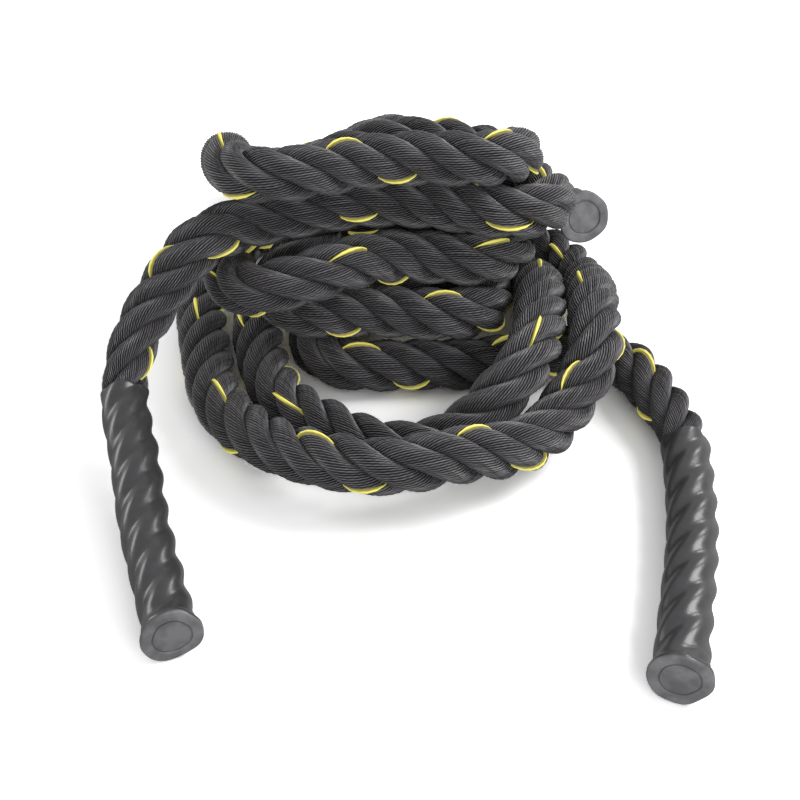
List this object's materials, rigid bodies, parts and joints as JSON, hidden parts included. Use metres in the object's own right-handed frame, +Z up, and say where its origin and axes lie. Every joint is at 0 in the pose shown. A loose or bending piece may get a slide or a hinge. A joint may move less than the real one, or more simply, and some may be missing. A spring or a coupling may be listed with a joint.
{
  "type": "battle rope",
  "caption": "Thick black laid training ropes lying wound together in a heap, with shrunk grip sleeves and flared end discs.",
  "frame": {"origin": "on the floor, under the middle of the box round the handles", "axes": "+Z up, +Y away from the handles' end discs, over the heap to its back, +X to the right as seen from the handles"},
  "size_m": [0.4091, 0.6515, 0.1849],
  "materials": {
    "sleeve": "semi-gloss shrunk sleeve over the strands",
    "rope": "laid black polyester with a yellow marker yarn"
  },
  "bodies": {
    "root": {"grip_sleeve_left": "sleeve", "grip_sleeve_rear": "sleeve", "grip_sleeve_right": "sleeve", "grip_sleeve_upper": "sleeve", "rope_end_left": "rope", "rope_end_rear": "rope", "rope_end_right": "rope", "rope_end_upper": "rope", "rope_a_lead": "rope", "rope_a_heap": "rope", "rope_a_tail": "rope", "rope_b_tail": "rope", "rope_b_heap": "rope", "rope_b_run": "rope"}
  },
  "joints": []
}
